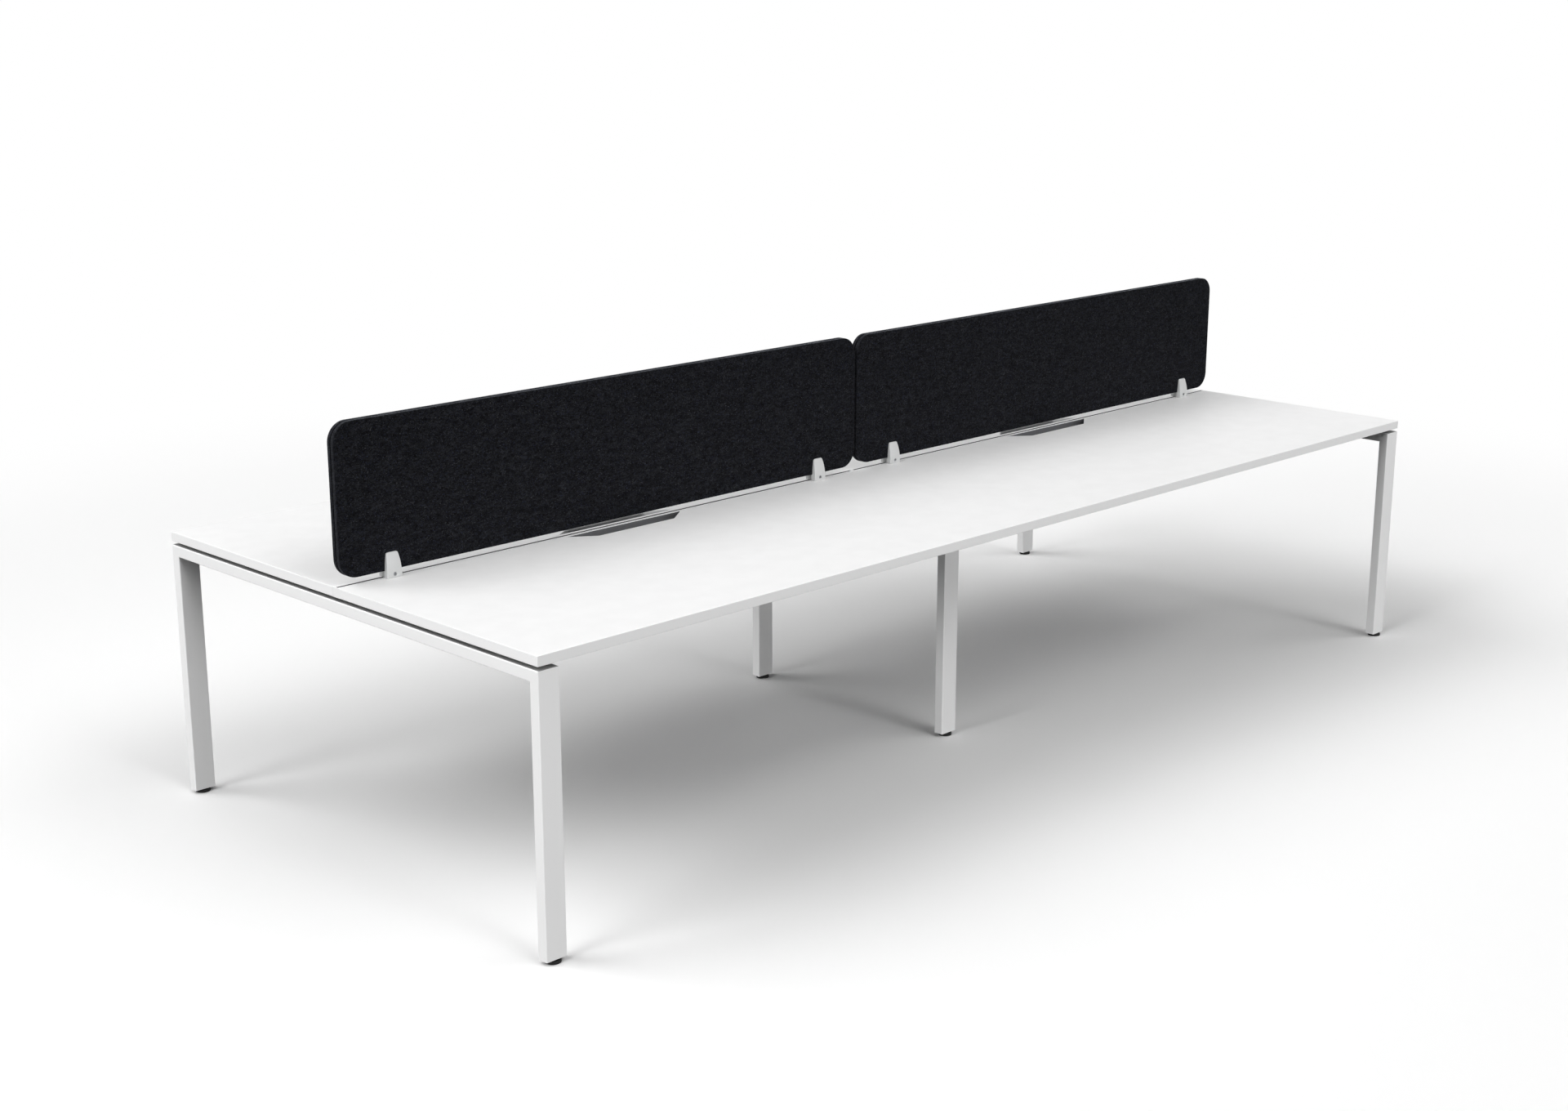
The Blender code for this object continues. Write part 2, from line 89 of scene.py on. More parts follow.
# %% Colours and shader nodes
import json
import math
import bpy
import bmesh
from mathutils import Matrix, Vector


def linear(hex_code):
    """Linear RGBA of an sRGB hex colour."""
    channels = [int(hex_code[start:start + 2], 16) / 255 for start in (1, 3, 5)]
    light = [c / 12.92 if c <= 0.04045 else ((c + 0.055) / 1.055) ** 2.4 for c in channels]
    return (*light, 1.0)


def add(tree, kind, inputs=None, **settings):
    """Add a shader node, set its options, and fill or link its inputs by name or number."""
    made = tree.nodes.new("ShaderNode" + kind)
    for option, value in settings.items():
        setattr(made, option, value)
    for socket, value in (inputs or {}).items():
        if isinstance(value, bpy.types.NodeSocket):
            tree.links.new(value, made.inputs[socket])
        else:
            made.inputs[socket].default_value = value
    return made


def new_finish(name, colour, roughness, **sockets):
    """A material with a Principled shader. Gives the material, its node tree and its shader."""
    made = bpy.data.materials.new(name)
    made.use_nodes = True
    shader = made.node_tree.nodes["Principled BSDF"]
    shader.inputs["Base Color"].default_value = linear(colour)
    shader.inputs["Roughness"].default_value = roughness
    for socket, value in sockets.items():
        shader.inputs[socket.replace("_", " ")].default_value = value
    made.diffuse_color = linear(colour)
    return made, made.node_tree, shader


print("tools ready: linear, add, new_finish")

# %% [markdown]
# ## White melamine
# The desktops are chipboard under a melamine-faced paper, pressed against a plate with a fine
# pearl texture. The eye gets a clean white with a broad, soft sheen: the pressed grain is about
# half a millimetre wide, so it breaks up reflections and is never seen as a pattern. It is drawn
# here three times as wide, at 1.5 mm, to keep it from vanishing between pixels.

# %% White melamine and its edge band
MM = 0.001


def speckle(tree, size, detail=2.0, roughness=0.5, stretch=(1.0, 1.0, 1.0)):
    """Noise on object coordinates whose grains are about the given size, in metres."""
    place = add(tree, "TexCoord").outputs["Object"]
    scaled = add(tree, "Mapping", {"Vector": place, "Scale": stretch}).outputs["Vector"]
    noise = {"Vector": scaled, "Scale": 1 / size, "Detail": detail, "Roughness": roughness}
    return add(tree, "TexNoise", noise).outputs[0]


def spread(tree, source, low, high):
    """Stretch a noise, which stays between about 0.3 and 0.7, over a range of values."""
    ends = {"Value": source, "From Min": 0.3, "From Max": 0.7, "To Min": low, "To Max": high}
    return add(tree, "MapRange", ends).outputs["Result"]


def blend_colours(tree, amount, first, second):
    """Colour between two hex colours by an amount from 0 to 1."""
    mixed = add(tree, "Mix", {0: amount, 6: linear(first), 7: linear(second)}, data_type="RGBA")
    return mixed.outputs[2]


def relief(tree, shader, height, depth, strength=1.0):
    """Bump the surface by a height from 0 to 1 that stands for a real depth in metres."""
    bump = add(tree, "Bump", {"Height": height, "Distance": depth, "Strength": strength})
    tree.links.new(bump.outputs["Normal"], shader.inputs["Normal"])


def tint(tree, shader, colour):
    tree.links.new(colour, shader.inputs["Base Color"])


melamine, tree, shader = new_finish("white_melamine_pearl", "#F2F2F2", 0.55, Specular_IOR_Level=0.3)
clouds = spread(tree, speckle(tree, 60 * MM), 0, 1)
tint(tree, shader, blend_colours(tree, clouds, "#F1F1F1", "#F4F4F4"))
grain = speckle(tree, 1.5 * MM)
tree.links.new(spread(tree, grain, 0.5, 0.6), shader.inputs["Roughness"])
relief(tree, shader, grain, 0.05 * MM)

# The edges carry a 2 mm strip of extruded ABS plastic, glued on and trimmed. It is a shade
# smoother than the tops and shows faint lines along its length from the trimming knife.
edge_band, tree, shader = new_finish("white_abs_edge_band", "#F6F6F6", 0.45, Specular_IOR_Level=0.35)
lines = speckle(tree, 1.2 * MM, stretch=(0.02, 0.02, 1.0))
tree.links.new(spread(tree, lines, 0.4, 0.5), shader.inputs["Roughness"])
relief(tree, shader, lines, 0.04 * MM)
print("finishes:", melamine.name, edge_band.name)

# %% [markdown]
# ## Powder coat on steel
# The frames and beams are sprayed with polyester powder and baked. As the powder melts it pulls
# into a gentle orange peel, waves about 2 mm across and a few hundredths of a millimetre deep,
# which gives white steel its slightly soft, satin highlight. A bump from one noise stands for the
# peel, since its waves are too small for real geometry, and a wider noise lets the gloss wander.

# %% White powder coat
powder, tree, shader = new_finish("white_powder_coat", "#F6F6F6", 0.45, Specular_IOR_Level=0.4)
peel = speckle(tree, 2.2 * MM, detail=1.0)
tree.links.new(spread(tree, speckle(tree, 12 * MM), 0.4, 0.5), shader.inputs["Roughness"])
relief(tree, shader, peel, 0.06 * MM)

# The tops of the crossbars, which the desktops hide, are painted grey as shade. The grey is painted
# shade, no real primer: it makes the narrow gap under the tops read as a dark line, which with white
# coat in there comes out too light in the render.
# Painted shade: a grey that stands for the shade in the gap under the desktops.
gap_shade_paint, tree, shader = new_finish("grey_painted_shade_in_gap", "#979797", 0.7, Specular_IOR_Level=0.3)
mist = speckle(tree, 1.5 * MM, detail=3.0)
tint(tree, shader, blend_colours(tree, spread(tree, mist, 0, 1), "#919191", "#9D9D9D"))
relief(tree, shader, mist, 0.03 * MM)
print("finishes:", powder.name, gap_shade_paint.name)

# %% [markdown]
# ## Coated aluminium, clamp alloy and plastics
# The rail is extruded aluminium with a thin white coat on its top. Die lines from the extrusion
# run along it and show through the coat as faint streaks, made here from a noise drawn out along
# the rail. The real lines are a few tenths of a millimetre apart and are drawn at 2.5 mm, because
# finer ones would flicker between pixels. In the slot and on its flanks the rail gets a dull grey
# metal that is painted shade, darkening the slot and the faces under the top into a grey line
# along the desk. The clamps are die-cast zinc alloy with a light grey satin coat that has
# a fine, sandy texture. Their screws are steel with bright zinc.

# %% Rail, clamp and screw finishes
rail_coat, tree, shader = new_finish("white_coated_extruded_aluminium", "#F3F3F3", 0.4)
die_lines = speckle(tree, 2.5 * MM, stretch=(0.004, 1.0, 1.0))
tree.links.new(spread(tree, die_lines, 0.36, 0.44), shader.inputs["Roughness"])
relief(tree, shader, die_lines, 0.01 * MM)

# Painted shade: a dull grey metal for the slot and the faces under the rail's top, where shade falls.
rail_painted_shade, tree, shader = new_finish("grey_painted_shade_on_rail", "#68696B", 0.5, Metallic=1.0)
die_lines = speckle(tree, 2.5 * MM, stretch=(0.004, 1.0, 1.0))
tree.links.new(spread(tree, die_lines, 0.44, 0.56), shader.inputs["Roughness"])
relief(tree, shader, die_lines, 0.01 * MM)

clamp_coat, tree, shader = new_finish("light_grey_coated_zinc_alloy", "#C2C3C3", 0.42)
sand = speckle(tree, 0.7 * MM, detail=3.0)
tint(tree, shader, blend_colours(tree, spread(tree, sand, 0, 1), "#BFC0C0", "#C6C7C7"))
tree.links.new(spread(tree, sand, 0.36, 0.5), shader.inputs["Roughness"])
relief(tree, shader, sand, 0.04 * MM)

zinc_steel, tree, shader = new_finish("bright_zinc_plated_steel", "#8F9193", 0.32, Metallic=1.0)
plating = speckle(tree, 1.0 * MM, detail=4.0)
tint(tree, shader, blend_colours(tree, spread(tree, plating, 0, 1), "#85878A", "#9B9DA0"))
tree.links.new(spread(tree, plating, 0.24, 0.42), shader.inputs["Roughness"])
relief(tree, shader, plating, 0.02 * MM)

# Injection-moulded plastics take the fine spark-eroded grain of their mould.
black_nylon, tree, shader = new_finish("black_moulded_nylon", "#0E0E0E", 0.6, Specular_IOR_Level=0.2)
mould = speckle(tree, 0.6 * MM, detail=2.0)
tint(tree, shader, blend_colours(tree, spread(tree, mould, 0, 1), "#0B0B0B", "#131313"))
tree.links.new(spread(tree, mould, 0.54, 0.66), shader.inputs["Roughness"])
relief(tree, shader, mould, 0.05 * MM)

white_cap, tree, shader = new_finish("white_moulded_abs", "#F4F4F4", 0.4)
mould = speckle(tree, 0.6 * MM, detail=2.0)
tree.links.new(spread(tree, mould, 0.36, 0.48), shader.inputs["Roughness"])
relief(tree, shader, mould, 0.04 * MM)
print("finishes:", rail_coat.name, clamp_coat.name, zinc_steel.name, black_nylon.name, white_cap.name)

# %% [markdown]
# ## Polyester felt
# The screens are panels of needle-punched polyester, the recycled-bottle felt of acoustic
# screens. Fibres of near black, charcoal and blue-grey lie tangled in every direction, a little
# more along the panel than up it. From a distance they give soft blotches, from near by a matted
# grain and a fuzz of single fibres. One noise carries the blotches and one the grain, a twisted
# noise each carries the blue and the pale fibres, and a sheen stands for the light that catches
# their tips. Real grain is about 2 mm wide and a fibre far thinner. Both are drawn at about 5 mm,
# because finer ones vanish between pixels when the whole desk is in view.

# %% Charcoal felt and the black core
# A scale below 1 along X draws the pattern out along the panel.
FIBRE_LIE = (0.6, 1.0, 1.0)
FIBRE_TWIST = 3.0


def fibres(tree, size, start, end, seed):
    """Strands of one kind of fibre: 1 on the strand and 0 between. The seed moves the pattern."""
    place = add(tree, "TexCoord").outputs["Object"]
    lie = {"Vector": place, "Location": (seed, 0.0, seed), "Scale": FIBRE_LIE}
    moved = add(tree, "Mapping", lie).outputs["Vector"]
    noise = {"Vector": moved, "Scale": 1 / size, "Detail": 2.0, "Distortion": FIBRE_TWIST}
    strands = add(tree, "TexNoise", noise).outputs[0]
    ends = {"Value": strands, "From Min": start, "From Max": end}
    return add(tree, "MapRange", ends).outputs["Result"]


def needle_felt(name, dark, light, sheen):
    """Felt from a dark to a light ground colour, with blue and pale fibres and a sheen on top."""
    made, tree, shader = new_finish(name, dark, 0.95, Sheen_Weight=sheen, Sheen_Roughness=0.35)
    shader.inputs["Sheen Tint"].default_value = linear("#AAAEB6")
    shader.inputs["Specular IOR Level"].default_value = 0.05
    matted = spread(tree, speckle(tree, 5.0 * MM, roughness=0.7, stretch=FIBRE_LIE), 0.0, 1.0)
    blotches = spread(tree, speckle(tree, 16 * MM, stretch=(0.5, 1.0, 1.0)), 0.0, 1.0)
    ground = blend_colours(tree, matted, dark, light)
    patchy = blend_colours(tree, blotches, "#B0B0B0", "#FFFFFF")
    layers = {0: 1.0, 6: ground, 7: patchy}
    toned = add(tree, "Mix", layers, data_type="RGBA", blend_type="MULTIPLY").outputs[2]
    blue = fibres(tree, 5.5 * MM, start=0.58, end=0.70, seed=3.1)
    pale = fibres(tree, 5.0 * MM, start=0.60, end=0.72, seed=7.7)
    layers = {0: blue, 6: toned, 7: linear("#212432")}
    bluish = add(tree, "Mix", layers, data_type="RGBA").outputs[2]
    layers = {0: pale, 6: bluish, 7: linear("#3A3B3E")}
    fuzzy = add(tree, "Mix", layers, data_type="RGBA").outputs[2]
    tint(tree, shader, fuzzy)
    relief(tree, shader, matted, 0.4 * MM)
    return made


felt = needle_felt("charcoal_needle_felt", "#040405", "#222326", 0.015)
# A cut edge shows the ends of the fibres, which scatter more light than the pressed face. Its
# lighter colour is partly that and partly a painted highlight, the sheen that the rim catches.
felt_edge_and_highlight = needle_felt("charcoal_felt_rim_painted_highlight", "#141518", "#36373B", 0.3)

core_black, tree, shader = new_finish("black_core_board", "#0A0A0B", 0.85)
board_grain = speckle(tree, 1.0 * MM, detail=3.0)
tint(tree, shader, blend_colours(tree, spread(tree, board_grain, 0, 1), "#070708", "#101012"))
relief(tree, shader, board_grain, 0.1 * MM)
print("finishes:", felt.name, core_black.name)

# %% [markdown]
# ## Making a piece
# Real edges are never razor sharp: a trimmed board, a sawn extrusion and a moulding each have
# a small radius that catches the light, and it is this thin line that makes a shape look real.
# Where a solid already has the right shape, a copy of it is merged, its triangles are joined
# back into whole faces and its sharp edges are bevelled. Only the new narrow faces are shaded
# smooth, so the broad faces stay truly flat.

# %% Copies with eased edges


def whole_faces(node):
    """A merged copy of a solid's mesh with its flat triangles joined into whole faces."""
    made = bmesh.new()
    made.from_mesh(frame["nodes"][node].data)
    bmesh.ops.remove_doubles(made, verts=made.verts, dist=1e-5)
    flat = math.radians(0.5)
    bmesh.ops.dissolve_limit(made, angle_limit=flat, verts=made.verts, edges=made.edges)
    return made


def ease(made, edges, width, segments=2):
    """Round the given edges and shade the new faces smooth."""
    rounding = bmesh.ops.bevel(
        made, geom=edges, offset=width, segments=segments, profile=0.5, affect="EDGES",
        material=-1, clamp_overlap=True,
    )
    for face in rounding["faces"]:
        face.smooth = True


def sharp_edges(made, angle=30.0):
    limit = math.radians(angle)
    return [edge for edge in made.edges if edge.is_manifold and edge.calc_face_angle() > limit]


def eased_copy(node, width, segments=2):
    made = whole_faces(node)
    for face in made.faces:
        face.smooth = False
    ease(made, sharp_edges(made), width, segments)
    return made


def add_piece(name, made, finishes, replaces=()):
    """Turn a bmesh into a named piece that rides on its body and stands for its solids."""
    mesh = bpy.data.meshes.new(name)
    made.to_mesh(mesh)
    made.free()
    for finish in finishes:
        mesh.materials.append(finish)
    piece = bpy.data.objects.new(name, mesh)
    bpy.context.scene.collection.objects.link(piece)
    body = frame["nodes"][replaces[0]]["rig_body"] if replaces else "workstation"
    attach(piece, body)
    if replaces:
        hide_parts(*replaces)
    return piece


def smooth_all(piece, angle=35.0):
    """Shade a curved piece smooth but for its corners."""
    piece.data.shade_smooth()
    piece.data.set_sharp_from_angle(angle=math.radians(angle))


print("piece tools ready")

# %% [markdown]
# ## Desktops
# Each top is a 25 mm board with a dip in its inner edge, where cables drop beside the rail. The
# trimming cutter leaves a radius of about 1 mm on the edge band, but not where a board butts
# against its neighbour or the end of the rail. The flat faces get melamine and everything round
# the rim gets the band.

# %% Four desktops
SIDES = ("front", "back")
BAYS = ("left", "right")
BOARD_EDGE_RADIUS = 1.0 * MM
# The rail is 30 mm wide, so a board's corner this near the desk's middle line touches it.
RAIL_REACH = 20 * MM


def is_rail_corner(place):
    """True where a desktop meets the end of the rail, at the short side of the desk."""
    return abs(place.x) > cad_box[1][0] - MM and abs(place.y) < RAIL_REACH


for side in SIDES:
    for bay in BAYS:
        node = f"desktop_{side}_{bay}"
        board = whole_faces(node)
        edges = sharp_edges(board)
        corners = [vert for vert in board.verts if abs(vert.co.x) < MM or is_rail_corner(vert.co)]
        joint = [edge for edge in edges if all(vert in corners for vert in edge.verts)]
        for face in board.faces:
            face.smooth = False
        ease(board, [edge for edge in edges if edge not in joint], BOARD_EDGE_RADIUS, 3)
        for face in board.faces:
            face.material_index = 0 if abs(face.normal.z) > 0.999 else 1
        add_piece(f"{node}_board", board, (melamine, edge_band), (node,))
print("desktops:", len(SIDES) * len(BAYS))

# %% [markdown]
# ## Goalpost frames
# A frame is two posts and a crossbar of 60 by 30 mm tube with a 2 mm wall, cut at 45 degrees,
# welded, ground flush and coated, so no seam shows at its corners. One face with the outline of
# the whole goalpost is extruded to the width of the tube. The long edges are rounded as drawn
# tube is, while the edges across the mitred corners stay crisp. Solidify turns the shape into
# tube with open ends for the inserts of the feet.

# %% Three goalpost frames
PLACES = ("left", "middle", "right")
WALL = 2.0 * MM
TUBE_EDGE_RADIUS = 2.6 * MM


def goalpost(place):
    low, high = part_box(f"post_front_{place}")
    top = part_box(f"crossbar_{place}")[1].z
    tube = high.y - low.y
    outer, inner = -low.y, -low.y - tube
    corners = (
        (-outer, low.z), (-outer, top), (outer, top), (outer, low.z),
        (inner, low.z), (inner, top - tube), (-inner, top - tube), (-inner, low.z),
    )
    made = bmesh.new()
    base = made.faces.new([made.verts.new((low.x, y, z)) for y, z in corners])
    grown = bmesh.ops.extrude_face_region(made, geom=[base])["geom"]
    moved = [item for item in grown if isinstance(item, bmesh.types.BMVert)]
    bmesh.ops.translate(made, vec=(high.x - low.x, 0, 0), verts=moved)
    bmesh.ops.recalc_face_normals(made, faces=made.faces)
    made.normal_update()
    ends = [
        face for face in made.faces
        if face.normal.z < -0.9 and face.calc_center_median().z < low.z + MM
    ]
    bmesh.ops.delete(made, geom=ends, context="FACES")
    along = [
        edge for edge in made.edges
        if edge.is_manifold and abs(edge.verts[0].co.x - edge.verts[1].co.x) < MM
    ]
    ease(made, along, TUBE_EDGE_RADIUS, 4)
    made.normal_update()
    # The rounded edges are shaded smooth across, and crisp at the mitres and the sawn ends.
    for edge in made.edges:
        run = edge.verts[1].co - edge.verts[0].co
        mitred = min(abs(run.y), abs(run.z)) > 0.01 * MM
        edge.smooth = edge.is_manifold and not mitred
    # The crossbar's top face under the desktops gets the grey of painted shade.
    for face in made.faces:
        painted_shade_top = face.normal.z > 0.999 and face.calc_center_median().z > top - MM
        face.material_index = 1 if painted_shade_top else 0
    return made


for place in PLACES:
    nodes = (f"crossbar_{place}", f"post_front_{place}", f"post_back_{place}")
    name = f"goalpost_frame_{place}"
    piece = add_piece(name, goalpost(place), (powder, gap_shade_paint), nodes)
    wall = piece.modifiers.new("tube_wall", "SOLIDIFY")
    wall.thickness, wall.offset, wall.use_even_offset = WALL, -1.0, True
    print("frame:", piece.name, len(piece.data.polygons), "faces")

# %% [markdown]
# ## Beams
# Four beams tie the frames together under the tops. A plate is welded on each end, and the
# weld fills the corner between tube and plate, which the bevel does there too. Two button-head
# screws hold each plate against the crossbar.

# %% Beams and their plates
WELD_WIDTH = 1.2 * MM

for side in SIDES:
    for bay in BAYS:
        node = f"beam_{side}_{bay}"
        tube = eased_copy(node, WELD_WIDTH, 3)
        add_piece(f"{node}_tube", tube, (powder,), (node,))
print("beams:", len(SIDES) * len(BAYS))

# %% [markdown]
# ## Button-head screws
# A button head is a low dome with a hexagon socket. A short cylinder with a rounded rim gives the
# dome, and a hexagon in the middle of its crown is pushed down for the socket. The heads are
# small, so all of those in the plates are gathered in one piece that rides on the desk.

# %% Button-head screws in the plates
# Height of a head and radius and depth of its socket, as shares of the head's radius.
HEAD_HEIGHT, SOCKET_RADIUS, SOCKET_DEPTH = 0.64, 0.44, 0.4
# Thickness of a beam's plate, and how far its two screws sit from its middle.
PLATE, PLATE_SCREW_OFFSET = 4 * MM, 32.5 * MM
PLATE_HEAD_RADIUS = 5.0 * MM


def button_head(radius, height, socket_radius, socket_depth):
    """Button head with a hexagon socket, on the XY plane with its crown along +Z."""
    made = bmesh.new()
    bmesh.ops.create_circle(made, cap_ends=True, radius=radius, segments=24)
    base = made.faces[:]
    grown = bmesh.ops.extrude_face_region(made, geom=base)["geom"]
    moved = [item for item in grown if isinstance(item, bmesh.types.BMVert)]
    bmesh.ops.translate(made, vec=(0, 0, height), verts=moved)
    made.normal_update()
    rim = [edge for edge in made.edges if all(vert.co.z > height / 2 for vert in edge.verts)]
    ease(made, rim, 0.62 * height, 4)
    crown = max(made.faces, key=lambda face: face.calc_center_median().z)
    loop = list(crown.edges)
    bmesh.ops.delete(made, geom=[crown], context="FACES_ONLY")
    socket = bmesh.ops.create_circle(
        made, radius=socket_radius, segments=6, matrix=Matrix.Translation((0, 0, height)))
    hexagon = list({edge for vert in socket["verts"] for edge in vert.link_edges})
    bmesh.ops.bridge_loops(made, edges=loop + hexagon)
    sunk = bmesh.ops.extrude_edge_only(made, edges=hexagon)["geom"]
    deep = [item for item in sunk if isinstance(item, bmesh.types.BMVert)]
    bmesh.ops.translate(made, vec=(0, 0, -socket_depth), verts=deep)
    sunk_rim = [item for item in sunk if isinstance(item, bmesh.types.BMEdge)]
    bmesh.ops.edgeloop_fill(made, edges=sunk_rim)
    bmesh.ops.recalc_face_normals(made, faces=made.faces)
    return made


def place_head(made, radius, place):
    """Add one screw head to a bmesh at a place matrix that turns its crown outwards."""
    head = button_head(radius, HEAD_HEIGHT * radius, SOCKET_RADIUS * radius, SOCKET_DEPTH * radius)
    bmesh.ops.transform(head, matrix=place, verts=head.verts)
    single = bpy.data.meshes.new("head")
    head.to_mesh(single)
    head.free()
    made.from_mesh(single)
    bpy.data.meshes.remove(single)


made = bmesh.new()
heads = 0
for side in SIDES:
    for bay in BAYS:
        low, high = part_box(f"beam_{side}_{bay}")
        middle = (low + high) / 2
        for end_x, facing in ((low.x + PLATE, 1), (high.x - PLATE, -1)):
            for offset in (-PLATE_SCREW_OFFSET, PLATE_SCREW_OFFSET):
                turn = Matrix.Rotation(facing * math.pi / 2, 4, "Y")
                spot = (end_x, middle.y + offset, middle.z)
                place_head(made, PLATE_HEAD_RADIUS, Matrix.Translation(spot) @ turn)
                heads += 1
add_piece("beam_screws", made, (zinc_steel,))
print("screw heads:", heads)

# %% [markdown]
# ## Screws under the crossbars
# Each spacer is clamped by two screws that pass up through the crossbar into the board, so only
# their heads show, from below. They are the same button heads, a little smaller and turned over.

# %% Screws under the crossbars
CROSSBAR_HEAD_RADIUS = 4.5 * MM
# Distance of a screw from the end of its spacer.
SCREW_INSET = 40 * MM

turned_over = Matrix.Rotation(math.pi, 4, "X")
made = bmesh.new()
heads = 0
for side in SIDES:
    for place in PLACES:
        low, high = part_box(f"top_spacer_{side}_{place}")
        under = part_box(f"crossbar_{place}")[0].z
        for y in (low.y + SCREW_INSET, high.y - SCREW_INSET):
            spot = ((low.x + high.x) / 2, y, under)
            place_head(made, CROSSBAR_HEAD_RADIUS, Matrix.Translation(spot) @ turned_over)
            heads += 1
add_piece("desktop_screws", made, (zinc_steel,))
print("screws under the crossbars:", heads)

# %% [markdown]
# ## Spacers, rail and caps
# Black spacers lift the tops 10 mm off the frames. Between the tops runs the rail, with its slot
# open upwards for the clamps. White caps close its ends, flush with the edges of the tops, and
# another covers the joint in the middle. Their solids already have the right outlines, so copies
# with eased edges are all they need. The rail's faces get their finish by height: the thin band at
# the top keeps the white coat, and the rest gets a dull grey that is painted shade.

# %% Spacers, rails and caps
# Depth of the white band at the rail's top; every face below it gets painted shade.
WHITE_TOP_BAND = 0.5 * MM

for side in SIDES:
    for place in PLACES:
        node = f"top_spacer_{side}_{place}"
        block = eased_copy(node, 0.8 * MM)
        add_piece(f"{node}_block", block, (black_nylon,), (node,))

for bay in BAYS:
    node = f"centre_rail_{bay}"
    made = eased_copy(node, 0.35 * MM)
    # Faces below the white band get the grey of painted shade in the slot and on the flanks.
    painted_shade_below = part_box(node)[1].z - WHITE_TOP_BAND
    for face in made.faces:
        face.material_index = 0 if face.calc_center_median().z > painted_shade_below else 1
    add_piece(f"{node}_profile", made, (rail_coat, rail_painted_shade), (node,))
    node = f"rail_end_cap_{bay}"
    cap = eased_copy(node, 0.2 * MM)
    add_piece(f"{node}_moulding", cap, (white_cap,), (node,))
node = "rail_joint_cap"
cap = eased_copy(node, 0.5 * MM)
add_piece(f"{node}_moulding", cap, (white_cap,), (node,))
print("spacers, rails and caps done")

# %% [markdown]
# ## Felt screens
# A screen is two felt panels glued to a thin black core that stays back from their edges, so a
# dark groove runs round the rim. A flat sheet the size of the panel has its four corners rounded
# by bevelling the corner points, and is then extruded to the panel's thickness. The cut edge of
# felt is soft, so its rim is rounded more than a board's.

# %% Two screens
PANEL_CORNER_RADIUS = 50 * MM
FELT_RIM_RADIUS = 2.2 * MM


def felt_panel(node):
    """A panel in the box of its solid, with round corners and a soft rim."""
    low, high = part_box(node)
    size = high - low
    made = bmesh.new()
    bmesh.ops.create_grid(made, x_segments=1, y_segments=1, size=0.5)
    bmesh.ops.scale(made, vec=(size.x, size.z, 1.0), verts=made.verts)
    bmesh.ops.bevel(
        made, geom=made.verts[:], offset=PANEL_CORNER_RADIUS, segments=16, profile=0.5,
        affect="VERTICES", material=-1)
    spot = (low.x + size.x / 2, low.y, low.z + size.z / 2)
    upright = Matrix.Translation(spot) @ Matrix.Rotation(math.pi / 2, 4, "X")
    bmesh.ops.transform(made, matrix=upright, verts=made.verts)
    grown = bmesh.ops.extrude_face_region(made, geom=made.faces[:])["geom"]
    moved = [item for item in grown if isinstance(item, bmesh.types.BMVert)]
    bmesh.ops.translate(made, vec=(0, size.y, 0), verts=moved)
    bmesh.ops.recalc_face_normals(made, faces=made.faces)
    made.normal_update()
    for face in made.faces:
        face.smooth = abs(face.normal.y) < 0.5
    rim = [edge for edge in made.edges if edge.is_manifold and edge.calc_face_angle() > 1.0]
    ease(made, rim, FELT_RIM_RADIUS, 4)
    made.normal_update()
    # The rim faces get the lighter edge felt: partly cut fibre ends, partly a painted highlight.
    for face in made.faces:
        face.material_index = 0 if abs(face.normal.y) > 0.8 else 1
    return made


for bay in BAYS:
    for side in SIDES:
        node = f"screen_{bay}_{side}_panel"
        add_piece(f"{node}_felt", felt_panel(node), (felt, felt_edge_and_highlight), (node,))
    node = f"screen_{bay}_core"
    board = eased_copy(node, 0.3 * MM)
    add_piece(f"{node}_board", board, (core_black,), (node,))
print("screens:", len(BAYS))

# %% [markdown]
# ## Screen clamps
# A clamp has a body with a thin back plate and a tongue in the rail's slot, a front jaw that
# tapers to a rounded top, and a hexagon-socket screw that draws the jaw in. Die castings leave
# the mould with small radii, and these catch the light along the jaw. The solids already have the
# taper and the socket, so eased copies of them serve, shaded smooth but for their corners.

# %% Clamps and screws
CLAMPS = [f"{bay}_{end}" for bay in BAYS for end in ("outer", "inner")]

for place in CLAMPS:
    for part, width in (("body", 0.4 * MM), ("jaw", 0.6 * MM)):
        node = f"clamp_{part}_{place}"
        casting = eased_copy(node, width)
        piece = add_piece(f"{node}_casting", casting, (clamp_coat,), (node,))
        smooth_all(piece)
    node = f"clamp_screw_{place}"
    screw = eased_copy(node, 0.25 * MM)
    piece = add_piece(f"{node}_socket_screw", screw, (zinc_steel,), (node,))
    smooth_all(piece)
print("clamps:", len(CLAMPS))

# %% [markdown]
# ## Levelling feet
# Each post stands on a foot: a round pad with a threaded stem that screws into the insert in
# the tube. The pad is a profile spun about the stem's axis. The thread is one ridge that climbs
# by its pitch in each turn, so its profile is spun with a rise at every step, and the turns are
# merged where they meet.

# %% Feet and inserts
# The stem is an M8 thread: 8 mm wide, with a ridge that climbs 1.25 mm in a turn.
STEM_RADIUS, PITCH, THREAD_DEPTH = 4.0 * MM, 1.25 * MM, 0.6 * MM
# The thread starts just inside the pad, whose top is 8 mm above the floor.
THREAD_START, PAD_TOP = 7.0 * MM, 8.0 * MM


def lathe(points, steps):
    """Spin a profile of (radius, height) points about Z into a closed shape."""
    made = bmesh.new()
    verts = [made.verts.new((radius, 0.0, height)) for radius, height in points]
    edges = [made.edges.new(pair) for pair in zip(verts, verts[1:])]
    bmesh.ops.spin(
        made, geom=verts + edges, cent=(0, 0, 0), axis=(0, 0, 1),
        angle=2 * math.pi, steps=steps, use_merge=True)
    bmesh.ops.remove_doubles(made, verts=made.verts, dist=1e-6)
    bmesh.ops.recalc_face_normals(made, faces=made.faces)
    return made


